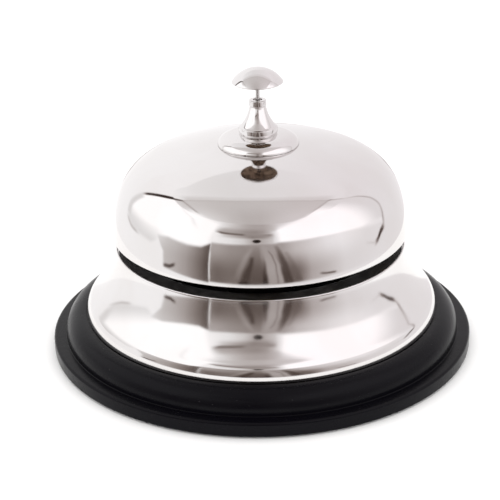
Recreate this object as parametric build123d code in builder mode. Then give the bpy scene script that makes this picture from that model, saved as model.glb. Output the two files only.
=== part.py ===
"""Jumbo reception service bell: a nickel-plated gong over a spun skirt and a turned wooden base.

Millimetres, +Z up. The origin is the centre of the underside, and +X is the side where the hammer
hangs. Pressing the knob drives the rod down onto the hammer's tail, and the hammer's head swings up
to the inside of the bell's shoulder.
"""
from math import acos, asin, cos, degrees, radians, sin, sqrt
import os

from build123d import *

os.makedirs("parts", exist_ok=True)

# ---------------------------------------------------------------- driving dimensions
# wooden base and felt
BASE_R = 105.0
BASE_LIFT = 0.6
STEP_R = 98.7
STEP_Z = 7.8
TOP_Z = 18.7
OVOLO_R = 9.7
EDGE_ROUND = 1.3
SEAT_R = 88.2
SEAT_Z = 18.2
FELT_R = 99.0
FELT_T = 2.0

# skirt, spun from sheet
SHEET = 1.0
RIM_R = 87.8
RIM_Z = 19.6
SHOULDER_R = 10.4
FLARE_R = 40.0
TURN_ANGLE = 47.5
LIP_ANGLE = 6.2
LEDGE_Z = 50.9
LEDGE_R = 63.5

# inner pan, pressed from sheet
PAN_R = 61.0
PAN_LIP_R = 70.2
PAN_BEND = 2.0
PAN_SCREW_R = 44.0

# bell: three arcs from the crown to the rim, each with the tangent angle where it ends
BELL_SHEET = 1.5
BELL_TOP = 104.3
BELL_ARCS = [(168.3, 18.0), (26.7, 69.4), (69.4, 86.8)]
BELL_HOLE_R = 4.2

# stem, which carries the bell and guides the rod
STEM_R = 4.0
STEM_BOTTOM = 66.0
STEM_TOP = 112.0
STEM_FIT = 0.1
SEAT_GAP = 0.02
SPRING_BORE_R = 2.6
SPRING_SEAT = 88.0
NUT_ACROSS = 13.0
NUT_T = 5.5
SPACER_R = 7.0
WASHER_R = 10.0
WASHER_T = 1.0

# bracket
STRIP = 2.0
BRACKET_W = 32.0
BRACKET_GAP = 24.0
BRACKET_TOP = 76.0
BRACKET_BEND = 3.0
FOOT_L = 17.0
FOOT_SCREW = 9.0

# wood screws
SCREW_R = 1.9
SCREW_L = 15.0
SCREW_HEAD_R = 3.8
SCREW_HEAD_T = 2.4

# saucer: three arcs like the bell's
SAUCER_TOP = 109.25
SAUCER_ARCS = [(80.0, 10.0), (12.0, 29.0), (4.2, 88.0)]

# finial
FINIAL_TOP = 125.4
FINIAL_FOOT_R = 9.5
FINIAL_NECK_R = 4.0
FINIAL_NECK_TOP = 122.4
FINIAL_COLLAR_R = 4.2
FINIAL_MOUTH_R = 2.2
FINIAL_MOUTH_DEPTH = 1.6

# plunger
ROD_R = 1.0
ROD_FIT = 0.06
ROD_TOP = 136.8
KNOB_TOP = 141.2
KNOB_CAP_R = 14.8
KNOB_TURN = 58.0
KNOB_SHEET = 1.4
KNOB_HUB_R = 3.0
KNOB_HUB_Z = 131.7
COLLAR_R = 2.4
COLLAR_T = 2.0
COLLAR_GAP = 0.1
WIRE_R = 0.3
SPRING_R = 1.95
SPRING_TURNS = 13

# hammer
PIVOT_X = 11.5
PIVOT_Z = 58.0
PIN_R = 1.5
PIN_FIT = 0.05
HUB_R = 3.5
HUB_L = 16.0
ARM_L = 48.2
ARM_ANGLE = 5.4
ARM_W = 6.0
ARM_T = 2.0
TAIL_L = 15.0
TAIL_W = 10.0
HEAD_R = 7.0
HEAD_SEAT = 4.5
RIVET_R = 1.5
REST_GAP = 0.3

# ---------------------------------------------------------------- worked-out places
PAN_FLOOR = SEAT_Z + SHEET
LEG_Y = BRACKET_GAP / 2 + STRIP / 2
FOOT_Z = PAN_FLOOR + STRIP / 2
FOOT_SCREWS = [(0, LEG_Y + FOOT_SCREW), (0, -LEG_Y - FOOT_SCREW)]
ROD_BOTTOM = PIVOT_Z + ARM_T / 2 + REST_GAP


def direction(angle):
    """Unit vector in a profile plane at an angle in degrees from the outward axis."""
    return Vector(cos(radians(angle)), sin(radians(angle)))


def crowned_face(top, arcs, bore):
    """Centre, radius, start and end angles of the arcs of a face level on the axis, from a bore outwards."""
    curves = []
    start = 90 - degrees(asin(bore / arcs[0][0]))
    centre = Vector(0, top)
    joint = 90.0
    for radius, tangent in arcs:
        centre = centre - direction(joint) * radius
        joint = 90 - tangent
        curves.append((centre, radius, start, joint))
        centre = centre + direction(joint) * radius
        start = joint
    return curves


def face_height(top, arcs, radius):
    """Height of a crowned face at a radius within its first arc."""
    return top - arcs[0][0] + sqrt(arcs[0][0] ** 2 - radius**2)


def lying_on(top, arcs, inner, outer):
    """Three profile points, from an inner to an outer radius, just clear of a crowned face."""
    return [(r, face_height(top, arcs, r) + SEAT_GAP) for r in (inner, (inner + outer) / 2, outer)]


BELL_SEAT = face_height(BELL_TOP, BELL_ARCS, WASHER_R) - BELL_SHEET - SEAT_GAP

# ---------------------------------------------------------------- base
with BuildPart() as felt_pad:
    with BuildSketch():
        Circle(FELT_R)
    extrude(amount=FELT_T)
felt_pad.part.label = "felt_pad"

with BuildPart() as wooden_base:
    with BuildSketch(Plane.XZ) as turned_outline:
        with BuildLine():
            Polyline(
                (0, FELT_T),
                (FELT_R + 0.3, FELT_T),
                (FELT_R + 0.3, BASE_LIFT),
                (BASE_R, BASE_LIFT),
                (BASE_R, STEP_Z),
                (STEP_R, STEP_Z),
                (STEP_R, TOP_Z - OVOLO_R),
            )
            CenterArc((STEP_R - OVOLO_R, TOP_Z - OVOLO_R), OVOLO_R, 0, 90)
            Polyline(
                (STEP_R - OVOLO_R, TOP_Z),
                (SEAT_R, TOP_Z),
                (SEAT_R, SEAT_Z),
                (0, SEAT_Z),
                (0, FELT_T),
            )
        make_face()
        fillet(turned_outline.vertices().group_by(Axis.X)[-1], EDGE_ROUND)
    revolve(axis=Axis.Z)
    with BuildSketch(Plane.XY.offset(SEAT_Z)):
        with PolarLocations(PAN_SCREW_R, 3, start_angle=90):
            Circle(SCREW_R + 0.05)
        with Locations(*FOOT_SCREWS):
            Circle(SCREW_R + 0.05)
    extrude(amount=-SCREW_L, mode=Mode.SUBTRACT)
wooden_base.part.label = "wooden_base"

# ---------------------------------------------------------------- skirt
shoulder_centre = Vector(RIM_R - SHOULDER_R, RIM_Z)
flare_centre = shoulder_centre + direction(TURN_ANGLE) * (SHOULDER_R + FLARE_R)
lip_outer = flare_centre - direction(LIP_ANGLE) * FLARE_R
lip_inner = flare_centre - direction(LIP_ANGLE) * (FLARE_R + SHEET)
wall_at_ledge = flare_centre.X - sqrt((FLARE_R + SHEET) ** 2 - (flare_centre.Y - LEDGE_Z) ** 2)

with BuildPart() as skirt:
    with BuildSketch(Plane.XZ):
        with BuildLine():
            Line((RIM_R, SEAT_Z), (RIM_R, RIM_Z))
            CenterArc(shoulder_centre, SHOULDER_R, 0, TURN_ANGLE)
            CenterArc(flare_centre, FLARE_R, 180 + TURN_ANGLE, LIP_ANGLE - TURN_ANGLE)
            Line(lip_outer, lip_inner)
            CenterArc(flare_centre, FLARE_R + SHEET, 180 + TURN_ANGLE, LIP_ANGLE - TURN_ANGLE)
            CenterArc(shoulder_centre, SHOULDER_R - SHEET, 0, TURN_ANGLE)
            Polyline((RIM_R - SHEET, RIM_Z), (RIM_R - SHEET, SEAT_Z), (RIM_R, SEAT_Z))
        make_face()
        with Locations((LEDGE_R, LEDGE_Z)):
            Rectangle(wall_at_ledge - LEDGE_R + SHEET / 2, SHEET, align=(Align.MIN, Align.MAX))
    revolve(axis=Axis.Z)
    fillet(skirt.edges().group_by(Axis.Z)[-1], SHEET * 0.4)
skirt.part.label = "skirt"

with BuildPart() as inner_pan:
    with BuildSketch(Plane.XZ):
        with BuildLine():
            FilletPolyline(
                (STEM_R, SEAT_Z + SHEET / 2),
                (PAN_R - SHEET / 2, SEAT_Z + SHEET / 2),
                (PAN_R - SHEET / 2, LEDGE_Z + SHEET / 2),
                (PAN_LIP_R, LEDGE_Z + SHEET / 2),
                radius=PAN_BEND,
            )
        trace(line_width=SHEET)
    revolve(axis=Axis.Z)
    with BuildSketch(Plane.XY.offset(SEAT_Z)):
        with PolarLocations(PAN_SCREW_R, 3, start_angle=90):
            Circle(SCREW_R + STEM_FIT)
        with Locations(*FOOT_SCREWS):
            Circle(SCREW_R + STEM_FIT)
    extrude(amount=SHEET, mode=Mode.SUBTRACT)
inner_pan.part.label = "inner_pan"

# ---------------------------------------------------------------- screws
with BuildPart() as pan_screws:
    with PolarLocations(PAN_SCREW_R, 3, start_angle=90):
        with Locations((0, 0, PAN_FLOOR)):
            Cylinder(SCREW_R, SCREW_L, align=(Align.CENTER, Align.CENTER, Align.MAX))
            Cylinder(SCREW_HEAD_R, SCREW_HEAD_T, align=(Align.CENTER, Align.CENTER, Align.MIN))
        with Locations((0, 0, PAN_FLOOR + SCREW_HEAD_T)):
            Box(SCREW_HEAD_R * 2, 1.0, 2.4, mode=Mode.SUBTRACT)
pan_screws.part.label = "pan_screws"

with BuildPart() as bracket_screws:
    with Locations(*[(x, y, PAN_FLOOR + STRIP) for x, y in FOOT_SCREWS]):
        Cylinder(SCREW_R, SCREW_L, align=(Align.CENTER, Align.CENTER, Align.MAX))
        Cylinder(SCREW_HEAD_R, SCREW_HEAD_T, align=(Align.CENTER, Align.CENTER, Align.MIN))
    with Locations(*[(x, y, PAN_FLOOR + STRIP + SCREW_HEAD_T) for x, y in FOOT_SCREWS]):
        Box(SCREW_HEAD_R * 2, 1.0, 2.4, mode=Mode.SUBTRACT)
bracket_screws.part.label = "bracket_screws"

# ---------------------------------------------------------------- bracket and pivot
with BuildPart() as bracket:
    with BuildSketch(Plane.YZ):
        with BuildLine():
            FilletPolyline(
                (-LEG_Y - FOOT_L, FOOT_Z),
                (-LEG_Y, FOOT_Z),
                (-LEG_Y, BRACKET_TOP - STRIP / 2),
                (LEG_Y, BRACKET_TOP - STRIP / 2),
                (LEG_Y, FOOT_Z),
                (LEG_Y + FOOT_L, FOOT_Z),
                radius=BRACKET_BEND,
            )
        trace(line_width=STRIP)
    extrude(amount=BRACKET_W / 2, both=True)
    with BuildSketch(Plane.XY.offset(BRACKET_TOP)):
        Circle(STEM_R + STEM_FIT)
    extrude(amount=-2 * STRIP, mode=Mode.SUBTRACT)
    with BuildSketch(Plane.XY.offset(PAN_FLOOR)):
        with Locations(*FOOT_SCREWS):
            Circle(SCREW_R + STEM_FIT)
    extrude(amount=2 * STRIP, mode=Mode.SUBTRACT)
    with BuildSketch(Plane.XZ):
        with Locations((PIVOT_X, PIVOT_Z)):
            Circle(PIN_R + STEM_FIT / 2)
    extrude(amount=BRACKET_GAP, both=True, mode=Mode.SUBTRACT)
bracket.part.label = "bracket"

PIN_END = BRACKET_GAP / 2 + STRIP + 2.5
HEAD_T = 1.5
with BuildPart() as pivot_pin:
    with BuildSketch(Plane.XZ.offset(BRACKET_GAP / 2 + STRIP)):
        with Locations((PIVOT_X, PIVOT_Z)):
            Circle(2 * PIN_R)
    extrude(amount=HEAD_T)
    with BuildSketch(Plane.XZ.offset(BRACKET_GAP / 2 + STRIP)):
        with Locations((PIVOT_X, PIVOT_Z)):
            Circle(PIN_R)
    extrude(amount=-BRACKET_GAP / 2 - STRIP - PIN_END)
pivot_pin.part.label = "pivot_pin"

with BuildPart() as pin_clip:
    with BuildSketch(Plane.XZ.offset(-BRACKET_GAP / 2 - STRIP - 0.2)):
        with Locations((PIVOT_X, PIVOT_Z)):
            Circle(PIN_R * 2.3)
            Circle(PIN_R, mode=Mode.SUBTRACT)
        with Locations((PIVOT_X, PIVOT_Z - 2 * PIN_R)):
            Rectangle(PIN_R * 1.6, PIN_R * 3, mode=Mode.SUBTRACT)
    extrude(amount=-0.8)
pin_clip.part.label = "pin_clip"

SPACER_GAP = BRACKET_GAP / 2 - HUB_L / 2
with BuildPart() as pivot_spacers:
    for side in (-1, 1):
        with BuildSketch(Plane.XZ.offset(side * (HUB_L / 2 + STEM_FIT))):
            with Locations((PIVOT_X, PIVOT_Z)):
                Circle(PIN_R + 1.2)
                Circle(PIN_R + PIN_FIT, mode=Mode.SUBTRACT)
        extrude(amount=side * (SPACER_GAP - 2 * STEM_FIT))
pivot_spacers.part.label = "pivot_spacers"

# ---------------------------------------------------------------- stem and its fittings
with BuildPart() as stem:
    with BuildSketch(Plane.XY.offset(STEM_BOTTOM)):
        Circle(STEM_R)
    extrude(amount=STEM_TOP - STEM_BOTTOM)
    chamfer(stem.edges().filter_by(GeomType.CIRCLE), 0.5)
    with Locations((0, 0, STEM_TOP)):
        CounterBoreHole(ROD_R + ROD_FIT, SPRING_BORE_R, STEM_TOP - SPRING_SEAT)
stem.part.label = "stem"

with BuildPart() as stem_nut:
    with BuildSketch(Plane.XY.offset(BRACKET_TOP - STRIP)):
        RegularPolygon(NUT_ACROSS / 2, 6, major_radius=False)
        Circle(STEM_R + STEM_FIT / 2, mode=Mode.SUBTRACT)
    extrude(amount=-NUT_T)
stem_nut.part.label = "stem_nut"

with BuildPart() as bell_spacer:
    with BuildSketch(Plane.XY.offset(BRACKET_TOP)):
        Circle(SPACER_R)
        Circle(STEM_R + STEM_FIT, mode=Mode.SUBTRACT)
    extrude(amount=BELL_SEAT - WASHER_T - BRACKET_TOP)
bell_spacer.part.label = "bell_spacer"

with BuildPart() as fibre_washer:
    with BuildSketch(Plane.XY.offset(BELL_SEAT - WASHER_T)):
        Circle(WASHER_R)
        Circle(STEM_R + STEM_FIT, mode=Mode.SUBTRACT)
    extrude(amount=WASHER_T)
fibre_washer.part.label = "fibre_washer"

# ---------------------------------------------------------------- bell
with BuildPart() as bell:
    with BuildSketch(Plane.XZ):
        with BuildLine():
            bell_face = crowned_face(BELL_TOP, BELL_ARCS, BELL_HOLE_R)
            for depth in (0, BELL_SHEET):
                for centre, radius, start, end in bell_face:
                    CenterArc(centre, radius - depth, start, end - start)
            for centre, radius, angle in (bell_face[0][:3], bell_face[-1][:2] + bell_face[-1][3:]):
                outer = centre + direction(angle) * radius
                Line(outer, outer - direction(angle) * BELL_SHEET)
        make_face()
    revolve(axis=Axis.Z)
    fillet(bell.edges().group_by(Axis.Z)[0], BELL_SHEET * 0.4)
bell.part.label = "bell"

# ---------------------------------------------------------------- saucer and finial
STEM_HOLE_R = STEM_R + STEM_FIT
with BuildPart() as saucer:
    with BuildSketch(Plane.XZ):
        with BuildLine():
            saucer_face = crowned_face(SAUCER_TOP, SAUCER_ARCS, STEM_HOLE_R)
            for centre, radius, start, end in saucer_face:
                CenterArc(centre, radius, start, end - start)
            saucer_rim = saucer_face[-1][0] + direction(saucer_face[-1][3]) * saucer_face[-1][1]
            underside = lying_on(BELL_TOP, BELL_ARCS, STEM_HOLE_R, saucer_rim.X)
            Line(saucer_rim, underside[-1])
            ThreePointArc(*underside)
            Line(underside[0], (STEM_HOLE_R, face_height(SAUCER_TOP, SAUCER_ARCS, STEM_HOLE_R)))
        make_face()
    revolve(axis=Axis.Z)
saucer.part.label = "saucer"

with BuildPart() as finial:
    with BuildSketch(Plane.XZ) as finial_outline:
        with BuildLine():
            bore = STEM_R + STEM_FIT / 2
            foot = lying_on(SAUCER_TOP, SAUCER_ARCS, bore, FINIAL_FOOT_R - 0.4)
            ThreePointArc(*foot)
            Polyline(
                foot[-1],
                (FINIAL_FOOT_R, SAUCER_TOP + 0.4),
                (FINIAL_FOOT_R - 0.2, SAUCER_TOP + 2.7),
                (FINIAL_FOOT_R - 0.9, SAUCER_TOP + 3.2),
            )
            ThreePointArc(
                (FINIAL_FOOT_R - 0.9, SAUCER_TOP + 3.2),
                (FINIAL_NECK_R + 1.65, SAUCER_TOP + 7.75),
                (FINIAL_NECK_R, FINIAL_NECK_TOP),
            )
            Polyline(
                (FINIAL_NECK_R, FINIAL_NECK_TOP),
                (FINIAL_COLLAR_R, FINIAL_NECK_TOP + 0.2),
                (FINIAL_COLLAR_R, FINIAL_TOP - 0.3),
                (FINIAL_COLLAR_R - 0.3, FINIAL_TOP),
                (FINIAL_MOUTH_R, FINIAL_TOP),
                (FINIAL_MOUTH_R, FINIAL_TOP - FINIAL_MOUTH_DEPTH),
                (ROD_R + 2 * ROD_FIT, FINIAL_TOP - FINIAL_MOUTH_DEPTH),
                (ROD_R + 2 * ROD_FIT, STEM_TOP),
                (bore, STEM_TOP),
                foot[0],
            )
        make_face()
    revolve(axis=Axis.Z)
finial.part.label = "finial"

# ---------------------------------------------------------------- plunger
with BuildPart() as knob:
    with BuildSketch(Plane.XZ):
        with BuildLine():
            cap_centre = Vector(0, KNOB_TOP - KNOB_CAP_R)
            hollow_r = KNOB_CAP_R - KNOB_SHEET
            rim_angle = 90 - KNOB_TURN
            hub_angle = degrees(acos(KNOB_HUB_R / hollow_r))
            CenterArc(cap_centre, KNOB_CAP_R, rim_angle, KNOB_TURN)
            Line(cap_centre + direction(rim_angle) * KNOB_CAP_R, cap_centre + direction(rim_angle) * hollow_r)
            CenterArc(cap_centre, hollow_r, rim_angle, hub_angle - rim_angle)
            Polyline(
                cap_centre + direction(hub_angle) * hollow_r,
                (KNOB_HUB_R, KNOB_HUB_Z),
                (ROD_R, KNOB_HUB_Z),
                (ROD_R, ROD_TOP),
                (0, ROD_TOP),
                (0, KNOB_TOP),
            )
        make_face()
    revolve(axis=Axis.Z)
knob.part.label = "knob"

with BuildPart() as plunger_rod:
    with BuildSketch(Plane.XY.offset(ROD_BOTTOM)):
        Circle(ROD_R)
    extrude(amount=ROD_TOP - ROD_BOTTOM)
    fillet(plunger_rod.faces().sort_by(Axis.Z)[0].edges(), 0.7)
plunger_rod.part.label = "plunger_rod"

with BuildPart() as plunger_collar:
    with BuildSketch(Plane.XY.offset(STEM_TOP - COLLAR_GAP)):
        Circle(COLLAR_R)
        Circle(ROD_R, mode=Mode.SUBTRACT)
    extrude(amount=-COLLAR_T)
plunger_collar.part.label = "plunger_collar"

spring_floor = SPRING_SEAT + WIRE_R + 0.05
spring_length = STEM_TOP - COLLAR_GAP - COLLAR_T - WIRE_R - 0.1 - spring_floor
with BuildPart() as plunger_spring:
    with BuildLine(Plane.XY.offset(spring_floor)) as coil:
        Helix(pitch=spring_length / SPRING_TURNS, height=spring_length, radius=SPRING_R)
    with BuildSketch(Plane(origin=coil.line @ 0, z_dir=coil.line % 0)):
        Circle(WIRE_R)
    sweep(path=coil.line, is_frenet=True)
plunger_spring.part.label = "plunger_spring"

# ---------------------------------------------------------------- hammer
pivot_plane = Plane(origin=(PIVOT_X, 0, PIVOT_Z), x_dir=(1, 0, 0), z_dir=(0, -1, 0))
arm_along = Vector(cos(radians(ARM_ANGLE)), 0, sin(radians(ARM_ANGLE)))
arm_plane = Plane(origin=pivot_plane.origin, x_dir=arm_along, z_dir=pivot_plane.z_dir)
head_plane = Plane(
    origin=arm_plane.from_local_coords((ARM_L, ARM_T / 2 + HEAD_SEAT, 0)),
    x_dir=arm_plane.x_dir,
    z_dir=arm_plane.y_dir,
)

with BuildPart() as hammer_arm:
    with BuildSketch(arm_plane):
        Circle(HUB_R)
    extrude(amount=HUB_L / 2, both=True)
    with BuildSketch(arm_plane):
        SlotCenterToCenter(2 * ARM_L + ARM_W, ARM_T)
        with Locations((-ARM_L, 0)):
            Rectangle(2 * ARM_L, ARM_W, mode=Mode.SUBTRACT)
    extrude(amount=ARM_W / 2, both=True)
    with BuildSketch(pivot_plane):
        with Locations((-TAIL_L / 2, 0)):
            Rectangle(TAIL_L, ARM_T)
    extrude(amount=TAIL_W / 2, both=True)
    with BuildSketch(pivot_plane):
        Circle(PIN_R + PIN_FIT)
    extrude(amount=HUB_L, both=True, mode=Mode.SUBTRACT)
    with BuildSketch(head_plane.offset(-HEAD_SEAT - 2 * ARM_T)):
        Circle(RIVET_R)
    extrude(amount=4 * ARM_T, mode=Mode.SUBTRACT)
hammer_arm.part.label = "hammer_arm"

with BuildPart() as hammer_head:
    with BuildSketch(Plane(origin=head_plane.origin, x_dir=arm_along, z_dir=arm_plane.z_dir)):
        with BuildLine():
            seat_r = sqrt(HEAD_R**2 - HEAD_SEAT**2)
            seat_angle = degrees(asin(HEAD_SEAT / HEAD_R))
            CenterArc((0, 0), HEAD_R, -seat_angle, 90 + seat_angle)
            Polyline((0, HEAD_R), (0, 0), (RIVET_R, 0), (RIVET_R, -HEAD_SEAT), (seat_r, -HEAD_SEAT))
        make_face()
    revolve(axis=Axis(head_plane.origin, head_plane.z_dir))
hammer_head.part.label = "hammer_head"

with BuildPart() as hammer_rivet:
    with BuildSketch(head_plane.offset(-HEAD_SEAT - ARM_T)):
        Circle(RIVET_R)
    extrude(amount=HEAD_SEAT + ARM_T - 0.5)
    with BuildSketch(head_plane.offset(-HEAD_SEAT - ARM_T)):
        Circle(RIVET_R * 1.8)
    extrude(amount=-1.2)
    fillet(hammer_rivet.faces().sort_by(Axis.Z)[0].edges(), 0.7)
hammer_rivet.part.label = "hammer_rivet"

# ---------------------------------------------------------------- export
for piece in (
    felt_pad,
    wooden_base,
    skirt,
    inner_pan,
    pan_screws,
    bracket_screws,
    bracket,
    pivot_pin,
    pin_clip,
    pivot_spacers,
    stem,
    stem_nut,
    bell_spacer,
    fibre_washer,
    bell,
    saucer,
    finial,
    knob,
    plunger_rod,
    plunger_collar,
    plunger_spring,
    hammer_arm,
    hammer_head,
    hammer_rivet,
):
    export_step(piece.part, f"parts/{piece.part.label}.step")
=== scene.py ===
"""Looks of the reception service bell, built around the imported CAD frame. Metres, +Z up."""
import math

import bpy
import numpy as np
from mathutils import Matrix, Vector


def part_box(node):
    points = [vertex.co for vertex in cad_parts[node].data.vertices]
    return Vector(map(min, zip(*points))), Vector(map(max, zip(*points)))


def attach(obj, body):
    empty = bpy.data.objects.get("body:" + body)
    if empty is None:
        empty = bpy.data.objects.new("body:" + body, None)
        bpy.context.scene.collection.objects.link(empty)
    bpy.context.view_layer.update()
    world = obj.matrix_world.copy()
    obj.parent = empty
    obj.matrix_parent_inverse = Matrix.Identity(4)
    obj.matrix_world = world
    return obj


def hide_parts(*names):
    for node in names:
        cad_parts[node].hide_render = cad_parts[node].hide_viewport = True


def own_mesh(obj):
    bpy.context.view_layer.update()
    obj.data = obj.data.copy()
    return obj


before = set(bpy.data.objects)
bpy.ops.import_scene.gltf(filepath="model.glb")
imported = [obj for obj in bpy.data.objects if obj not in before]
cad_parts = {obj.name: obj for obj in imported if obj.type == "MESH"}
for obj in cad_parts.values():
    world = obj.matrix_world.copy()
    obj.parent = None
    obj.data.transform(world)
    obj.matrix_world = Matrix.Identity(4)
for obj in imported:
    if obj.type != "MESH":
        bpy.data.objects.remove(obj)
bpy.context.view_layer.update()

MM = 0.001
SEGMENTS = 288


# ---------------------------------------------------------------- outlines
def polar(angle):
    """Unit vector in an (r, z) outline at an angle in degrees from the outward axis."""
    return Vector((math.cos(math.radians(angle)), math.sin(math.radians(angle))))


def arc(centre, radius, start, end, step=1.5):
    """Points of an arc in an outline, both ends included."""
    count = max(2, math.ceil(abs(end - start) / step))
    return [Vector(centre) + polar(start + (end - start) * i / count) * radius for i in range(count + 1)]


def rounded(corners, step=10):
    """Outline through (r, z, radius) corners, each corner with a radius turned into an arc."""
    points = []
    for i, (r, z, radius) in enumerate(corners):
        here = Vector((r, z))
        if not radius:
            points.append(here)
            continue
        before = Vector(corners[i - 1][:2]) - here
        after = Vector(corners[(i + 1) % len(corners)][:2]) - here
        half = before.angle(after) / 2
        cut = radius / math.tan(half)
        a = here + before.normalized() * cut
        b = here + after.normalized() * cut
        centre = here + (before.normalized() + after.normalized()).normalized() * (radius / math.sin(half))
        turn = (a - centre).angle_signed(b - centre)
        first = math.degrees(math.atan2(a.y - centre.y, a.x - centre.x))
        points += arc(centre, radius, first, first - math.degrees(turn), step)
    return points


def lathe(name, outline, closed=False, segments=SEGMENTS):
    """Mesh turned about Z from an outline of (r, z) points, closed or ending on the axis."""
    outline = [Vector(point) for point in outline]
    if sum(a.cross(b) for a, b in zip(outline, outline[1:] + outline[:1])) < 0:
        outline.reverse()
    mesh = bpy.data.meshes.new(name)
    verts, faces, rings = [], [], []
    for r, z in outline:
        if r < 1e-7:
            rings.append([len(verts)] * segments)
            verts.append((0, 0, z))
            continue
        rings.append(list(range(len(verts), len(verts) + segments)))
        for k in range(segments):
            turn = 2 * math.pi * k / segments
            verts.append((r * math.cos(turn), r * math.sin(turn), z))
    pairs = list(zip(rings, rings[1:])) + ([(rings[-1], rings[0])] if closed else [])
    for low, high in pairs:
        for k in range(segments):
            n = (k + 1) % segments
            face = (low[k], low[n], high[n], high[k])
            faces.append(tuple(dict.fromkeys(face)))
    mesh.from_pydata(verts, [], faces)
    mesh.validate()
    mesh.polygons.foreach_set("use_smooth", [True] * len(mesh.polygons))
    mesh.set_sharp_from_angle(angle=math.radians(32))
    piece = bpy.data.objects.new(name, mesh)
    bpy.context.scene.collection.objects.link(piece)
    return piece


def finish_piece(piece, body, material, node):
    """Gives a piece its material, unless it has one, puts it on its body, and hides the CAD node that it
    stands for.
    """
    if not piece.data.materials:
        piece.data.materials.append(material)
    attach(piece, body)
    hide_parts(node)


# ---------------------------------------------------------------- node helpers
class Nodes:
    """Short calls for building one material's nodes."""

    def __init__(self, name):
        """Starts a material with its shader and the object's own coordinates."""
        self.material = bpy.data.materials.new(name)
        self.material.use_nodes = True
        self.tree = self.material.node_tree
        self.shader = self.tree.nodes["Principled BSDF"]
        self.where = self.add("ShaderNodeTexCoord").outputs["Object"]

    def add(self, kind, **settings):
        """New node with its properties set."""
        node = self.tree.nodes.new(kind)
        for key, value in settings.items():
            setattr(node, key, value)
        return node

    def link(self, output, socket):
        """Joins an output to an input."""
        self.tree.links.new(output, socket)

    def set(self, **values):
        """Sets the shader's own sockets; base_color means Base Color."""
        for key, value in values.items():
            socket = key.replace("_", " ").title().replace("Ior", "IOR")
            self.shader.inputs[socket].default_value = value

    def maths(self, operation, a, b=None):
        """Result of a Math node on outputs or numbers."""
        node = self.add("ShaderNodeMath", operation=operation)
        for socket, value in zip(node.inputs, (a, b)):
            if hasattr(value, "links"):
                self.link(value, socket)
            elif value is not None:
                socket.default_value = value
        return node.outputs[0]

    def stretched(self, x, y, z):
        """The object coordinates with each axis scaled."""
        node = self.add("ShaderNodeMapping")
        self.link(self.where, node.inputs["Vector"])
        node.inputs["Scale"].default_value = (x, y, z)
        return node.outputs[0]

    def round_the_axis(self, across, around):
        """Coordinates for marks round the turning axis: radius and height, and a little of x + y."""
        split = self.add("ShaderNodeSeparateXYZ")
        self.link(self.where, split.inputs[0])
        x, y, z = split.outputs
        squares = self.maths("ADD", self.maths("MULTIPLY", x, x), self.maths("MULTIPLY", y, y))
        radius = self.maths("SQRT", squares)
        join = self.add("ShaderNodeCombineXYZ")
        self.link(self.maths("MULTIPLY", radius, across), join.inputs[0])
        self.link(self.maths("MULTIPLY", z, across), join.inputs[1])
        self.link(self.maths("MULTIPLY", self.maths("ADD", x, y), around), join.inputs[2])
        return join.outputs[0]

    def noise(self, vector, scale, detail, roughness=0.5):
        """Noise value over the given coordinates."""
        node = self.add("ShaderNodeTexNoise")
        self.link(vector, node.inputs["Vector"])
        node.inputs["Scale"].default_value = scale
        node.inputs["Detail"].default_value = detail
        node.inputs["Roughness"].default_value = roughness
        return node.outputs["Fac"]

    def spread(self, value, low, high, to_low, to_high):
        """Maps a range of a value to another range, smoothly and clamped."""
        node = self.add("ShaderNodeMapRange", interpolation_type="SMOOTHSTEP")
        self.link(value, node.inputs["Value"])
        for key, number in zip(("From Min", "From Max", "To Min", "To Max"), (low, high, to_low, to_high)):
            node.inputs[key].default_value = number
        return node.outputs["Result"]

    def mix(self, factor, a, b):
        """Blend of two RGB colours, through the Mix node's colour sockets."""
        node = self.add("ShaderNodeMix", data_type="RGBA")
        self.link(factor, node.inputs["Factor"])
        for index, value in ((6, a), (7, b)):
            node.inputs[index].default_value = (*value, 1)
        return node.outputs[2]

    def blotches(self, value, low, high, a, b):
        """Base colour that goes from one colour to another over a range of a value."""
        self.link(self.mix(self.spread(value, low, high, 0, 1), a, b), self.shader.inputs["Base Color"])

    def rough(self, value, low, high, to_low, to_high):
        """Roughness that goes from one level to another over a range of a value."""
        self.link(self.spread(value, low, high, to_low, to_high), self.shader.inputs["Roughness"])

    def bump(self, height, distance, under=None):
        """Normal from a height, over another normal where one is given."""
        node = self.add("ShaderNodeBump")
        node.inputs["Strength"].default_value = 1.0
        node.inputs["Distance"].default_value = distance
        self.link(height, node.inputs["Height"])
        if under is not None:
            self.link(under, node.inputs["Normal"])
        return node.outputs["Normal"]


# ---------------------------------------------------------------- materials
def nickel(name, clear, hazy):
    """Polished nickel plate: faint waves from spinning, faint buffing marks, a breath of haze."""
    n = Nodes(name)
    n.set(metallic=1.0)
    n.blotches(n.noise(n.where, 35, 4), 0.35, 0.65, (0.735, 0.715, 0.705), (0.755, 0.740, 0.735))
    n.rough(n.noise(n.where, 90, 5, 0.6), 0.35, 0.75, clear, hazy)
    waves = n.noise(n.round_the_axis(1.0, 0.35), 55, 1)
    buffing = n.noise(n.round_the_axis(1.0, 0.02), 1800, 2)
    normal = n.bump(waves, 0.00003)
    n.link(n.bump(buffing, 0.0000006, under=normal), n.shader.inputs["Normal"])
    return n.material


def black_lacquer():
    """Satin black lacquer on turned wood: the grain shows through, with dust and small nibs."""
    n = Nodes("black_lacquer")
    n.set(specular_ior_level=0.10)
    dust = n.spread(n.noise(n.where, 900, 2), 0.74, 0.80, 0, 0.35)
    n.link(n.mix(dust, (0.0026, 0.0023, 0.0040), (0.16, 0.15, 0.15)), n.shader.inputs["Base Color"])
    n.rough(n.noise(n.where, 60, 4), 0.3, 0.7, 0.22, 0.30)
    grain = n.noise(n.stretched(18, 420, 420), 1.0, 5, 0.6)
    nibs = n.noise(n.where, 420, 2)
    normal = n.bump(grain, 0.00006)
    n.link(n.bump(nibs, 0.00002, under=normal), n.shader.inputs["Normal"])
    return n.material


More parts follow.
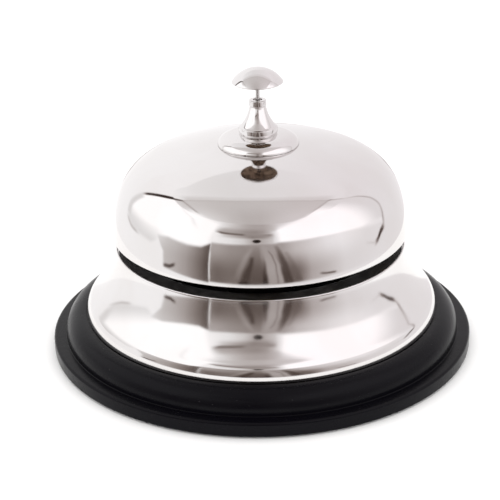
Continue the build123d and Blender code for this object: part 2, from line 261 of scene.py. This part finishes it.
def black_enamel():
    """Stove enamel on pressed steel, a little brown where it is thin."""
    n = Nodes("black_enamel")
    n.set(specular_ior_level=0.4)
    n.blotches(n.noise(n.where, 70, 4), 0.45, 0.75, (0.011, 0.009, 0.008), (0.024, 0.018, 0.014))
    n.rough(n.noise(n.where, 160, 3), 0.3, 0.7, 0.38, 0.55)
    n.link(n.bump(n.noise(n.where, 1400, 2), 0.00002), n.shader.inputs["Normal"])
    return n.material


def turned_metal(name, light, dark, rough):
    """Plain turned or drawn metal with tool marks round its axis and slight staining."""
    n = Nodes(name)
    n.set(metallic=1.0)
    n.blotches(n.noise(n.where, 220, 4), 0.4, 0.7, light, dark)
    marks = n.noise(n.round_the_axis(1.0, 0.05), 2600, 3)
    n.rough(marks, 0.3, 0.7, rough * 0.7, rough * 1.3)
    n.link(n.bump(marks, 0.000012), n.shader.inputs["Normal"])
    return n.material


def red_fibre():
    """Vulcanised fibre: dull red with a fine felted grain."""
    n = Nodes("red_fibre")
    n.set(roughness=0.72)
    fleck = n.noise(n.where, 1500, 4)
    n.blotches(fleck, 0.35, 0.65, (0.20, 0.030, 0.018), (0.30, 0.055, 0.030))
    n.link(n.bump(fleck, 0.00003), n.shader.inputs["Normal"])
    return n.material


def black_felt():
    """Pressed wool felt: matted fibres and a soft sheen."""
    n = Nodes("black_felt")
    n.set(roughness=0.95, sheen_weight=0.3, sheen_roughness=0.5)
    fibres = n.noise(n.where, 1700, 6, 0.7)
    n.blotches(fibres, 0.35, 0.7, (0.010, 0.011, 0.012), (0.045, 0.047, 0.050))
    n.link(n.bump(fibres, 0.00025), n.shader.inputs["Normal"])
    return n.material


NICKEL = nickel("polished_nickel", 0.05, 0.085)
SKIRT_NICKEL = nickel("polished_nickel_skirt", 0.08, 0.12)
LACQUER = black_lacquer()
ENAMEL = black_enamel()
STEEL = turned_metal("bright_steel", (0.60, 0.59, 0.58), (0.50, 0.48, 0.46), 0.28)
BRASS = turned_metal("turned_brass", (0.72, 0.52, 0.24), (0.55, 0.37, 0.15), 0.30)
PRESSED = turned_metal("unpolished_brown", (0.260, 0.185, 0.135), (0.090, 0.062, 0.048), 0.50)
FIBRE = red_fibre()
FELT = black_felt()


# ---------------------------------------------------------------- bell
def crowned(low_r, top, arcs):
    """Arcs of a face that is level on the axis, as (radius in mm, end slope), with its height at low_r."""
    centre, joint, chain = Vector((0, 0)), 90.0, []
    start = 90 - math.degrees(math.asin(low_r / (arcs[0][0] * MM)))
    for radius, slope in arcs:
        radius *= MM
        centre = centre - polar(joint) * radius
        joint = 90 - slope
        chain.append((centre, radius, start, joint))
        centre = centre + polar(joint) * radius
        start = joint
    lift = Vector((0, top - (chain[0][0] + polar(chain[0][2]) * chain[0][1]).y))
    return [(c + lift, r, a, b) for c, r, a, b in chain]


def along(chain, depth=0.0, longest=0.7 * MM):
    """Points along a chain of arcs, at a depth under it."""
    points = []
    for centre, radius, start, end in chain:
        points += arc(centre, radius - depth, start, end, min(1.5, math.degrees(longest / radius)))[:-1]
    return points + [centre + polar(end) * (radius - depth)]


BELL_ARCS = ((168.3, 18.0), (26.7, 69.4), (69.4, 86.8))
BELL_HOLE = 4.2 * MM


def build_bell():
    """Gong: a crowned shell of even thickness with a rounded lip."""
    sheet = 1.5 * MM
    lip = 0.55 * MM
    chain = crowned(BELL_HOLE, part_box("bell")[1].z, BELL_ARCS)
    outer, inner = along(chain), along(chain, sheet)
    centre, radius, _, end = chain[-1]
    edge_out = centre + polar(end) * radius
    edge_in = centre + polar(end) * (radius - sheet)
    down = polar(end - 90)
    rim = rounded(
        [
            (*(edge_out - down * lip), 0),
            (*edge_out, lip),
            (*edge_in, lip),
            (*(edge_in - down * lip), 0),
        ],
        15,
    )
    outline = outer[:-2] + rim + inner[:-2][::-1]
    piece = lathe("gong", outline, closed=True)
    finish_piece(piece, "root", NICKEL, "bell")


# ---------------------------------------------------------------- skirt
def build_skirt():
    """Spun skirt: a rolled shoulder on the base, a hollow flare, a beaded lip and a ledge over the pan."""
    low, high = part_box("skirt")
    sheet, shoulder, flare = 1.0 * MM, 10.4 * MM, 40.0 * MM
    turn, lip_angle = 47.5, 6.2
    ledge_z, ledge_r, ledge_bend = 50.9 * MM, 63.5 * MM, 0.3 * MM
    rim_r, rim_z = high.x, low.z + 1.4 * MM
    c1 = Vector((rim_r - shoulder, rim_z))
    c2 = c1 + polar(turn) * (shoulder + flare)
    outer = [Vector((rim_r, low.z))] + arc(c1, shoulder, 0, turn, 2)
    outer += arc(c2, flare, 180 + turn, 180 + lip_angle + 1, 1)[1:]
    lip_out, lip_in = c2 - polar(lip_angle) * flare, c2 - polar(lip_angle) * (flare + sheet)
    bead = arc((lip_out + lip_in) / 2, sheet / 2, lip_angle, lip_angle + 180, 15)
    wall = c2.x - math.sqrt((flare + sheet) ** 2 - (c2.y - ledge_z) ** 2)
    ledge = rounded(
        [
            (wall, ledge_z, 0),
            (ledge_r, ledge_z, ledge_bend),
            (ledge_r, ledge_z - sheet, ledge_bend),
            (wall + 0.2 * MM, ledge_z - sheet, 0),
        ],
        30,
    )
    under = math.degrees(math.asin((c2.y - ledge_z + sheet) / (flare + sheet)))
    inner = arc(c2, flare + sheet, 180 + under, 180 + turn, 1)[1:]
    inner += arc(c1, shoulder - sheet, turn, 0, 2)[1:]
    outline = outer + bead + ledge + inner + [Vector((rim_r - sheet, low.z))]
    piece = lathe("flared_skirt", outline, closed=True)
    finish_piece(piece, "root", SKIRT_NICKEL, "skirt")


def build_pan():
    """Pressed pan inside the skirt, whose flanged lip shows as the dark ring under the gong."""
    low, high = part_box("inner_pan")
    sheet, bend = 1.0 * MM, 1.5 * MM
    wall, hole = 61.0 * MM, 4.0 * MM
    outline = rounded(
        [
            (hole, low.z, 0),
            (wall, low.z, bend + sheet),
            (wall, high.z - sheet, bend),
            (high.x, high.z - sheet, 0.2 * MM),
            (high.x, high.z, 0.4 * MM),
            (wall - sheet, high.z, bend + sheet),
            (wall - sheet, low.z + sheet, bend),
            (hole, low.z + sheet, 0),
        ]
    )
    piece = lathe("pressed_pan", outline, closed=True)
    finish_piece(piece, "root", ENAMEL, "inner_pan")


# ---------------------------------------------------------------- base
def build_base():
    """Turned base: a low step, a quarter-round above it, and recesses for the skirt and the felt."""
    low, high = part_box("wooden_base")
    felt_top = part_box("felt_pad")[1].z
    felt_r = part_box("felt_pad")[1].x + 0.3 * MM
    step_r, step_z, ovolo = 98.7 * MM, 7.8 * MM, 9.7 * MM
    seat_r, seat_z = 88.2 * MM, 18.2 * MM
    edge = 1.3 * MM
    outline = rounded(
        [
            (0, felt_top, 0),
            (felt_r, felt_top, 0),
            (felt_r, low.z, 0.3 * MM),
            (high.x, low.z, edge),
            (high.x, step_z, edge),
            (step_r, step_z, 0.35 * MM),
            (step_r, high.z - ovolo, 0),
        ]
    )
    outline += arc((step_r - ovolo, high.z - ovolo), ovolo, 0, 90, 4)[1:]
    outline += rounded(
        [
            (step_r - ovolo, high.z, 0),
            (seat_r, high.z, 0.25 * MM),
            (seat_r, seat_z, 0),
            (0, seat_z, 0),
        ],
        30,
    )[1:]
    piece = lathe("turned_base", outline)
    finish_piece(piece, "root", LACQUER, "wooden_base")


# ---------------------------------------------------------------- top pieces
SAUCER_ARCS = ((80.0, 10.0), (12.0, 29.0), (4.2, 88.0))
SEAT_GAP = 0.02 * MM


def build_saucer():
    """Domed cap washer that follows the gong's crown underneath."""
    bore = 4.1 * MM
    edge = 0.3 * MM
    top = along(crowned(bore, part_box("saucer")[1].z, SAUCER_ARCS), longest=0.3 * MM)
    crown = along(crowned(BELL_HOLE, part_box("bell")[1].z, BELL_ARCS), longest=1.5 * MM)
    seat = [point + Vector((0, SEAT_GAP)) for point in crown if point.x < top[-1].x - edge]
    seat[0].x = bore
    rim = rounded([(*top[-2], 0), (*top[-1], edge), (*seat[-1], 0)], 15)
    piece = lathe("saucer_washer", top[:-2] + rim + seat[:-1][::-1], closed=True)
    finish_piece(piece, "root", NICKEL, "saucer")


def three_point(a, b, c, step):
    """Arc through three outline points."""
    a, b, c = Vector(a), Vector(b), Vector(c)
    lengths = [point.length_squared for point in (a, b, c)]
    across = (b.x - c.x, c.x - a.x, a.x - b.x)
    up = (b.y - c.y, c.y - a.y, a.y - b.y)
    double = 2 * (a.x * up[0] + b.x * up[1] + c.x * up[2])
    centre = Vector(
        (
            sum(length * rise for length, rise in zip(lengths, up)) / double,
            -sum(length * run for length, run in zip(lengths, across)) / double,
        )
    )
    first, last = (math.degrees(math.atan2(*(point - centre).yx)) for point in (a, c))
    sweep = (last - first + 180) % 360 - 180
    return arc(centre, (a - centre).length, first, first + sweep, step)


def build_finial():
    """Turned column: a flanged foot, a hollow-sided cone and a collar with a mouth for the rod."""
    low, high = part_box("finial")
    foot, undercut, collar = high.x, 0.4 * MM, 4.2 * MM
    neck, bore, rod, mouth = 4.0 * MM, 4.05 * MM, 1.12 * MM, 2.2 * MM
    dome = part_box("saucer")[1].z
    neck_top, stem_top, mouth_floor = 122.4 * MM, 112.0 * MM, high.z - 1.6 * MM
    waist = three_point(
        (foot - 0.9 * MM, dome + 3.3 * MM),
        (neck + 1.65 * MM, dome + 7.8 * MM),
        (neck, neck_top),
        1.5,
    )
    flange = rounded(
        [
            (foot - undercut, low.z, 0),
            (foot, dome + 0.5 * MM, 0.5 * MM),
            (foot - 0.15 * MM, dome + 2.8 * MM, 0.3 * MM),
            (*waist[0], 0),
        ],
        12,
    )
    top = rounded(
        [
            (*waist[-2], 0),
            (neck, neck_top, 0.1 * MM),
            (collar, neck_top + 0.2 * MM, 0.1 * MM),
            (collar, high.z, 0.35 * MM),
            (mouth, high.z, 0.15 * MM),
            (mouth, mouth_floor, 0),
            (rod, mouth_floor, 0),
            (rod, stem_top, 0),
            (bore, stem_top, 0),
        ],
        15,
    )
    foot_inside = [Vector((bore, dome + SEAT_GAP)), Vector((foot - undercut, low.z))]
    outline = foot_inside + flange[1:] + waist[1:-1] + top[1:]
    piece = lathe("turned_finial", outline, closed=True, segments=144)
    finish_piece(piece, "root", NICKEL, "finial")


def build_knob():
    """Pressed cap with a hub for the rod, polished outside and left unpolished underneath."""
    low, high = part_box("knob")
    cap, sheet, edge = 14.8 * MM, 1.4 * MM, 0.35 * MM
    rim_angle = 32.0
    hub, rod = 3.0 * MM, 1.0 * MM
    hub_angle = math.degrees(math.acos(hub / (cap - sheet)))
    rod_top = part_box("plunger_rod")[1].z
    centre = Vector((0, high.z - cap))
    outer = arc(centre, cap, 90, rim_angle, 1)
    outer[0].x = 0
    inner = arc(centre, cap - sheet, rim_angle, hub_angle, 2)
    rim = rounded([(*outer[-2], 0), (*outer[-1], edge), (*inner[0], edge), (*inner[1], 0)], 15)
    socket = rounded(
        [
            (*inner[-1], 0),
            (hub, low.z, 0.4 * MM),
            (rod, low.z, 0),
            (rod, rod_top, 0),
            (0, rod_top, 0),
        ],
        20,
    )
    piece = lathe("press_knob", outer[:-1] + rim[1:-1] + inner[1:] + socket[1:], segments=192)
    piece.data.materials.append(NICKEL)
    piece.data.materials.append(PRESSED)
    polished_r, facing_down = high.x - 0.6 * MM, -0.3
    for face in piece.data.polygons:
        under = face.normal.z < facing_down and face.center.xy.length < polished_r
        face.material_index = 1 if under else 0
    finish_piece(piece, "plunger", NICKEL, "knob")


def build_rod():
    """Drawn rod with a rounded lower end for the hammer's tail."""
    low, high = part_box("plunger_rod")
    r = high.x
    outline = rounded([(0, high.z, 0), (r, high.z, 0.2 * MM), (r, low.z, 0.7 * MM), (0, low.z, 0)], 15)
    piece = lathe("press_rod", outline, segments=48)
    finish_piece(piece, "plunger", STEEL, "plunger_rod")


def wound_wire(name, coil, wire, low, high, turns):
    """Helix of round wire about Z between two heights of its centre line, with flat ends."""
    sides, steps = 14, 40
    count = turns * steps
    climb = (high - low) / (2 * math.pi * turns)
    verts = []
    for i in range(count + 1):
        turn = 2 * math.pi * i / steps
        outward = Vector((math.cos(turn), math.sin(turn), 0))
        forward = Vector((-coil * math.sin(turn), coil * math.cos(turn), climb)).normalized()
        centre = outward * coil + Vector((0, 0, low + climb * turn))
        for k in range(sides):
            angle = 2 * math.pi * k / sides
            side = outward * math.cos(angle) + forward.cross(outward) * math.sin(angle)
            verts.append(centre + side * wire)
    faces = [tuple(range(sides))[::-1], tuple(range(count * sides, (count + 1) * sides))]
    for i in range(count):
        for k in range(sides):
            a, b = i * sides + k, i * sides + (k + 1) % sides
            faces.append((a, b, b + sides, a + sides))
    mesh = bpy.data.meshes.new(name)
    mesh.from_pydata(verts, [], faces)
    mesh.polygons.foreach_set("use_smooth", [True] * len(mesh.polygons))
    mesh.set_sharp_from_angle(angle=math.radians(50))
    piece = bpy.data.objects.new(name, mesh)
    bpy.context.scene.collection.objects.link(piece)
    return piece


def build_spring():
    """Return spring: a coil of wire between the ends of the CAD spring."""
    low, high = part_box("plunger_spring")
    wire, coil, turns = 0.3 * MM, 1.95 * MM, 13
    piece = wound_wire("return_spring", coil, wire, low.z + wire, high.z - wire, turns)
    finish_piece(piece, "root", STEEL, "plunger_spring")
    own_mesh(piece)


build_bell()
build_skirt()
build_pan()
build_base()
build_saucer()
build_finial()
build_knob()
build_rod()
build_spring()

# ---------------------------------------------------------------- carried-over CAD nodes
CARRIED = {
    "felt_pad": FELT,
    "bracket": ENAMEL,
    "pan_screws": STEEL,
    "bracket_screws": STEEL,
    "pivot_pin": STEEL,
    "pin_clip": STEEL,
    "hammer_arm": STEEL,
    "hammer_rivet": STEEL,
    "hammer_head": BRASS,
    "pivot_spacers": BRASS,
    "stem": BRASS,
    "stem_nut": BRASS,
    "bell_spacer": BRASS,
    "plunger_collar": BRASS,
    "fibre_washer": FIBRE,
}
for name, material in CARRIED.items():
    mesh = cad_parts[name].data
    mesh.materials.clear()
    mesh.materials.append(material)


# ---------------------------------------------------------------- camera
def build_camera():
    """Long lens a little above the bell, turned to the photograph's view."""
    data = bpy.data.cameras.new("camera")
    camera = bpy.data.objects.new("camera", data)
    bpy.context.scene.collection.objects.link(camera)
    data.sensor_width = 36.0
    data.lens = 108.0
    data.clip_start, data.clip_end = 0.01, 50.0
    place, pitch, roll = (-0.00516, -0.68677, 0.34599), 23.537, 1.2
    aim = Matrix.Rotation(math.radians(90 - pitch), 4, "X") @ Matrix.Rotation(math.radians(-roll), 4, "Z")
    camera.matrix_world = Matrix.Translation(place) @ aim
    bpy.context.scene.camera = camera


# ---------------------------------------------------------------- studio
def ease(x, low, high):
    """Smooth step from 0 at low to 1 at high."""
    t = np.clip((x - low) / (high - low), 0, 1)
    return t * t * (3 - 2 * t)


def band(x, low, high, soft):
    """1 between low and high, with soft edges."""
    return ease(x, low - soft, low + soft) * (1 - ease(x, high - soft, high + soft))


def near(distance, half, soft):
    """1 within half of a line, falling to 0 over a soft distance."""
    return 1 - ease(abs(distance), half - soft / 2, half + soft / 2)


def through(x, *stops):
    """Value at x on straight runs through (x, value) stops."""
    places, values = zip(*stops)
    return np.interp(x, places, values)


NICKEL_REFLECTS = 0.72


def seen(value):
    """Brightness that polished nickel shows as an sRGB value from 0 to 255."""
    return ((value / 255 + 0.055) / 1.055) ** 2.4 / NICKEL_REFLECTS


class Cloth:
    """Brightness over a grid of places on the light tent, painted one soft-edged area at a time.

    Values are sRGB, 0 to 255, as the nickel shows them.
    """

    def __init__(self, value):
        """Starts with plain cloth."""
        self.level = seen(value)

    def paint(self, mask, value):
        """Covers what is under a mask with a value."""
        self.level = self.level * (1 - mask) + seen(value) * mask




def paint_left_panel(cloth, az, z):
    """Lit panel on the left, with a seam at its far edge that is black high up."""
    seam = -116.5 + 0.042 * np.maximum(z - 180, 0) + through(z, (50, 4.5), (110, 0))
    foot = through(az, (-112, 60), (-104, 56), (-80, 62), (-66, 98), (-45, 106), (-33, 126))
    lit = ease(az, seam - 1, seam + 3) * (1 - ease(az, -38, -32)) * ease(z, foot - 9, foot + 9)
    cloth.paint(lit, 255)
    cloth.paint(lit * (1 - ease(z, 62, 125)) * (1 - ease(az, -78, -66)), 216)
    cloth.paint(near(az - seam - 2, 3, 4) * ease(z, 60, 75) * (1 - ease(z, 175, 200)), 212)
    cloth.paint(near(z - foot, 3, 5) * band(az, -112, -95, 4), 190)
    wide = 1.3 + np.clip(z - 180, 0, 140) / 65
    cloth.paint(near(az - seam, wide, 2.2) * ease(z, 176, 215), 50)
    crease = through(z, (190, -46), (300, -62), (360, -88))
    cloth.paint(near(az - crease, 1.5, 6) * ease(z, 190, 260), 236)


def paint_right_panel(cloth, az, z):
    """Lit panel on the right, with a grey seam that ends in a dark corner."""
    foot = through(az, (13, 146), (40, 136), (60, 118), (72, 104), (98, 76))
    seam = through(z, (60, 96.5), (80, 98), (100, 99.5), (140, 102), (200, 103.8), (280, 103.8), (360, 100))
    lit = ease(az, 10, 15) * (1 - ease(az, seam - 2, seam + 1)) * ease(z, foot - 10, foot + 10)
    cloth.paint(lit, 255)
    cloth.paint(lit * ease(az, 72, 96), 214)
    grey = through(z, (60, 150), (120, 186), (250, 178), (360, 205))
    cloth.paint(near(az - seam, 1.0, 1.6) * ease(z, 58, 75), grey)
    corner = through(az, (83, 40), (87, 46), (91, 56), (97, 62))
    dark = through(az, (84, 130), (90, 58), (96, 100))
    cloth.paint(near(z - corner, 6, 6) * band(az, 84, 96, 2), dark)
    beside = through(az, (74, 60), (84, 42))
    cloth.paint(near(z - beside, 2.5, 4) * band(az, 75, 84, 2), 198)


def paint_left_drape(cloth, az, z):
    """Hanging cloth left of the opening, darkest at its edge."""
    side = through(z, (20, -67), (60, -68), (95, -76))
    top = through(az, (-76, 92), (-66, 103), (-50, 104), (-40, 109), (-33.5, 127))
    hem = through(az, (-67, 17), (-45, 9), (-33, 6))
    drape = ease(az, side - 1.5, side + 1.5) * (1 - ease(az, -34.2, -33.4))
    drape = drape * (1 - ease(z, top - 6, top + 6)) * ease(z, hem - 3, hem + 3)
    shade = through(
        az, (-76, 212), (-66, 188), (-58, 176), (-50, 158), (-44, 134), (-39, 110), (-36, 90), (-34, 80)
    )
    cloth.paint(drape, shade + 8 * ease(z, 60, 100))
    corner = through(az, (-68, 22), (-62, 26), (-57, 38))
    cloth.paint(near(z - corner, 5, 7) * band(az, -67, -58, 1.5), 72)


def paint_curtain(cloth, az, z):
    """Grey curtain between the two panels, fading out to the right."""
    top = through(
        az, (-33, 130), (-20, 134), (-6, 140), (4, 142), (14, 140), (40, 134), (60, 116), (75, 100)
    )
    curtain = ease(az, -33.8, -33.0) * (1 - ease(az, 66, 90))
    curtain = curtain * (1 - ease(z, top - 7, top + 7)) * ease(z, 6, 13)
    low = through(
        az, (-33, 120), (-28, 108), (-20, 115), (-14, 112), (-4, 90), (14, 84),
        (24, 112), (32, 168), (45, 191), (56, 210), (72, 214), (90, 208),
    )
    high = through(
        az, (-33, 166), (-28, 162), (-20, 148), (-10, 140), (4, 155), (14, 160),
        (22, 186), (30, 200), (45, 222), (56, 230), (72, 226), (90, 212),
    )
    cloth.paint(curtain, low + (high - low) * ease(z, 40, 115))
    cloth.paint(near(az + 33.2, 0.35, 0.7) * band(z, 16, 100, 8), 222)
    smudge = through(az, (37, 26), (42, 21), (50, 17))
    cloth.paint(near(z - smudge, 3, 5) * band(az, 38, 49, 1.5), 96)


def paint_folds(cloth, az, z):
    """Folds that fan out below the lens hole like the ribs of a hanging cloth."""
    low = ease(z, 8, 14)

    def fold(left, right, soft, value, start=136):
        """Paints between two edges given by their azimuths at heights of 10, 40, 70, 100 and 132 mm."""
        heights = (10, 40, 70, 100, 132)
        edges = [np.interp(z, heights, side) for side in (left, right)]
        cloth.paint(low * (1 - ease(z, start - 8, start)) * band(az, *edges, soft), value)

    grey = through(z, (15, 114), (60, 138), (100, 153), (130, 146))
    fold((-20, -16, -14, -11, -6), (-15, -12.5, -10.5, -8, -4.5), 1.6, grey)
    grey = through(z, (15, 86), (60, 97), (130, 142))
    fold((-14.5, -12, -10, -7.5, -4.2), (0.5, 0.5, 0.2, -0.5, -1), 1.0, grey)
    fold((-13.5, -11, -8.5, -6.5, -4), (-8.5, -6.5, -5.5, -4.8, -3.5), 1.2, 72, 100)
    grey = through(z, (15, 44), (60, 84), (90, 112))
    fold((0.8, 1.3, 1.5, 1.3, 1.0), (4.6, 3.8, 2.8, 2.0, 1.2), 0.7, grey, 90)
    grey = through(z, (15, 156), (60, 164), (130, 158))
    fold((4.8, 4.2, 2.8, 1.8, 0.2), (14.5, 13.2, 11.5, 8.5, 2.8), 1.0, grey)
    fold((10.2, 9.6, 8.4, 6.2, 1.6), (11.2, 10.6, 9.4, 7.4, 2.4), 0.5, 126, 120)
    grey = through(z, (40, 74), (90, 86), (125, 130))
    fold((15.2, 13.8, 12.4, 10.4, 8.6), (20.5, 18.5, 16.5, 14, 11), 1.2, grey, 134)
    grey = through(z, (15, 96), (60, 106), (100, 138))
    fold((22, 20, 18, 15.5, 12), (26.5, 24, 21, 17.5, 13), 1.8, grey, 112)
    cloth.paint(ease(z, 8, 12) * (1 - ease(z, 16, 22)) * band(az, -14, -7, 1.5), 50)


def paint_lens_surround(cloth, az, z):
    """Pale cloth round the lens hole, shaded above it."""
    over = ease(az, -36, -31) * (1 - ease(az, 7.5, 12.5))
    pale = through(
        az, (-33, 240), (-28, 232), (-20, 222), (-12, 204), (-5, 170), (1, 172), (8, 196), (11, 226)
    )
    cloth.paint(over * band(z, 138, 222, 7), pale)
    shade = through(az, (-30, 214), (-20, 178), (-12, 154), (-6, 130), (2, 144), (8, 170))
    cloth.paint(near(z - 196, 18, 30) * band(az, -29, 8, 4), shade)


def paint_flap(cloth, az, z):
    """Flap that rises to the ceiling, the dark crease at its foot and the lens hole under it."""
    left = through(z, (200, -34), (240, -34), (300, -32), (360, -46))
    right = through(z, (200, 9.5), (240, 9), (300, 18), (360, 34))
    soft = through(z, (210, 1.5), (260, 4), (300, 9), (360, 15))
    low = through(az, (-34, 196), (-28, 172), (-20, 164), (-11, 148), (-4, 143), (2, 155), (8, 188))
    high = through(
        az, (-50, 230), (-36, 222), (-28, 208), (-20, 188), (-12, 171), (-6, 166),
        (2, 167), (8, 181), (16, 206), (34, 222),
    )
    cloth.paint(band(az, left, right, soft) * ease(z, 205, 228), low + (high - low) * ease(z, 235, 300))
    crease = through(az, (-34, 222), (-28, 214), (-18, 213), (8, 206))
    cloth.paint(near(z - crease, 10, 15) * band(az, -32, -11, 3), 112)
    cloth.paint(near(z - crease, 11, 14) * band(az, -11, 8, 2.5), 144)
    hole = ((az + 2.8) / 2.9) ** 2 + ((z - 156) / 13) ** 2
    cloth.paint(1 - ease(hole, 0.6, 1.4), 24)


def paint_back(cloth, az, z):
    """Folded grey curtain low behind the bell, out of the photograph's reflections."""
    behind = az % 360 - 180
    curtain = (1 - ease(abs(behind), 26, 29)) * ease(z, 7, 13) * (1 - ease(z, 38, 52))
    folds = 146 + 26 * np.sin(behind / 3.7) + 14 * np.sin(behind / 1.7 + 1) + 0.5 * z
    cloth.paint(curtain, folds)


def wall_light(az, z):
    """Brightness of the tent's wall at an azimuth in degrees, 0 in front and + to the right, and z in mm.

    The plain cloth behind the bell is a little brighter on the left.
    """
    cloth = Cloth(227 - 8 * np.tanh(3 * np.sin(np.radians(az))))
    sway = 0.3 * np.sin(z / 19) + 0.12 * np.sin(z / 7.1 + 1)
    paint_left_panel(cloth, az, z)
    paint_right_panel(cloth, az, z)
    paint_left_drape(cloth, az, z)
    paint_curtain(cloth, az, z)
    paint_folds(cloth, az + sway, z)
    paint_lens_surround(cloth, az, z)
    paint_flap(cloth, az, z)
    paint_back(cloth, az, z)
    return cloth.level


def ceiling_light(x, y):
    """Brightness of the tent's ceiling at a place in mm, y away from the camera."""
    cloth = Cloth(through(x, (-220, 233), (-120, 222), (-40, 215), (60, 218), (150, 222), (220, 222)))
    line = through(
        x, (-260, 88), (-215, 52), (-150, 38), (0, 36), (60, 24), (120, 12), (170, 14), (200, 24), (260, 50)
    )
    cloth.paint(ease(y, line - 5, line + 5) * (1 - ease(y - line, 20, 75)) * band(x, -200, 190, 30), 206)
    front = 1 - ease(y, line - 5, line + 5)
    plain = through(x, (-250, 208), (-220, 204), (190, 212), (230, 216))
    cloth.paint(front, plain + 44 * (1 - ease(y, -110, -10)))
    left = through(y, (-260, -185), (-130, -212), (40, -214))
    right = through(y, (-260, 120), (-170, 168), (-120, 172), (-60, 182), (25, 190))
    soft = through(y, (-260, 40), (-100, 20), (0, 8), (40, 5))
    inside = ease(x, left - soft, left + soft) * (1 - ease(x, right - soft / 2, right + soft / 2))
    shade = through(
        x, (-210, 220), (-160, 208), (-100, 190), (-50, 180), (0, 181), (60, 193), (120, 202), (180, 204)
    )
    cloth.paint(front * inside, shade + (193 - shade) * 0.7 * ease(y, -170, 0))
    cloth.paint(front * ease(y, -120, -60) * near(x - left, 6, 8), 172)
    cloth.paint(front * ease(y, -190, -60) * near(x - right, 5, 9), 178)
    cloth.paint(near(y - line, 4, 7) * band(x, -215, 195, 4), 182)
    cloth.paint(ease(-205 - x, 0, 15) * near(y - line, 9 + 0.1 * (-205 - x), 14), 74)
    corner = through(x, (190, 120), (205, 170), (230, 182))
    cloth.paint(ease(x - 185, 0, 10) * near(y - line, 5, 9), corner)
    return cloth.level


def tent_mesh(name, places, level, warmth):
    """Glowing sheet over a grid of places, which shows only in reflections.

    The light warms as it dims, and warmth takes out more green and blue.
    """
    rows, turns = level.shape
    mesh = bpy.data.meshes.new(name)
    index = np.arange(turns * rows).reshape(rows, turns)
    quads = np.stack([index[:-1, :-1], index[:-1, 1:], index[1:, 1:], index[1:, :-1]], -1).reshape(-1, 4)
    mesh.from_pydata(places.reshape(-1, 3).tolist(), [], quads.tolist())
    level, warmth = level.reshape(-1, 1), warmth.reshape(-1, 1)
    dim = np.minimum(level, 1)
    tint = np.concatenate([dim**0, dim**0.12, dim**0.18], 1)
    colour = level * tint * (1 - warmth * np.array([0, 0.048, 0.026]))
    paint = mesh.color_attributes.new("light", "FLOAT_COLOR", "POINT")
    paint.data.foreach_set("color", np.concatenate([colour, level**0], 1).astype(np.float32).ravel())
    mesh.materials.append(tent_material())
    sheet = bpy.data.objects.new(name, mesh)
    bpy.context.scene.collection.objects.link(sheet)
    sheet.visible_camera = False
    sheet.visible_diffuse = False
    sheet.visible_shadow = False
    sheet.visible_transmission = False


def tent_material():
    """Emission in the colour painted on the sheet."""
    material = bpy.data.materials.new("tent_light")
    material.use_nodes = True
    nodes, links = material.node_tree.nodes, material.node_tree.links
    nodes.clear()
    colour = nodes.new("ShaderNodeVertexColor")
    colour.layer_name = "light"
    glow = nodes.new("ShaderNodeEmission")
    out = nodes.new("ShaderNodeOutputMaterial")
    links.new(colour.outputs["Color"], glow.inputs["Color"])
    links.new(glow.outputs[0], out.inputs["Surface"])
    return material


def build_tent():
    """The light tent round the bell: a round wall and a flat ceiling."""
    radius, height, rows = 0.26, 0.36, 161
    az, z = np.meshgrid(np.linspace(-180, 180, 961), np.linspace(0, height, rows))
    x, y = radius * np.sin(np.radians(az)), -radius * np.cos(np.radians(az))
    pink = (0.35 + 0.75 * ease(x / radius, -0.3, 0.6)) * (0.6 + 0.4 * ease(z / height, 0, 1))
    tent_mesh("tent_wall", np.stack([x, y, z], -1), wall_light(az, z / MM), pink)
    az, reach = np.meshgrid(np.linspace(-180, 180, 481), np.linspace(0, radius, rows))
    x, y = reach * np.sin(np.radians(az)), -reach * np.cos(np.radians(az))
    pink = 0.35 + 0.75 * ease(x / radius, -0.3, 0.6)
    tent_mesh("tent_ceiling", np.stack([x, y, 0 * x + height], -1), ceiling_light(x / MM, y / MM), pink)


def build_floor():
    """Pale seamless floor."""
    size = 12.0
    mesh = bpy.data.meshes.new("floor")
    corners = [(-size, -size, 0), (size, -size, 0), (size, size, 0), (-size, size, 0)]
    mesh.from_pydata(corners, [], [(0, 1, 2, 3)])
    n = Nodes("floor_white")
    n.set(base_color=(0.95, 0.95, 0.95, 1), roughness=1.0, specular_ior_level=0.0)
    mesh.materials.append(n.material)
    floor = bpy.data.objects.new("floor", mesh)
    bpy.context.scene.collection.objects.link(floor)


def build_world():
    """Even soft light from all round."""
    world = bpy.data.worlds.new("studio")
    bpy.context.scene.world = world
    world.use_nodes = True
    background = world.node_tree.nodes["Background"]
    background.inputs["Color"].default_value = (1.0, 0.99, 0.985, 1)
    background.inputs["Strength"].default_value = 1.35


build_camera()
build_tent()
build_floor()
build_world()
bpy.context.scene.view_settings.view_transform = "Standard"
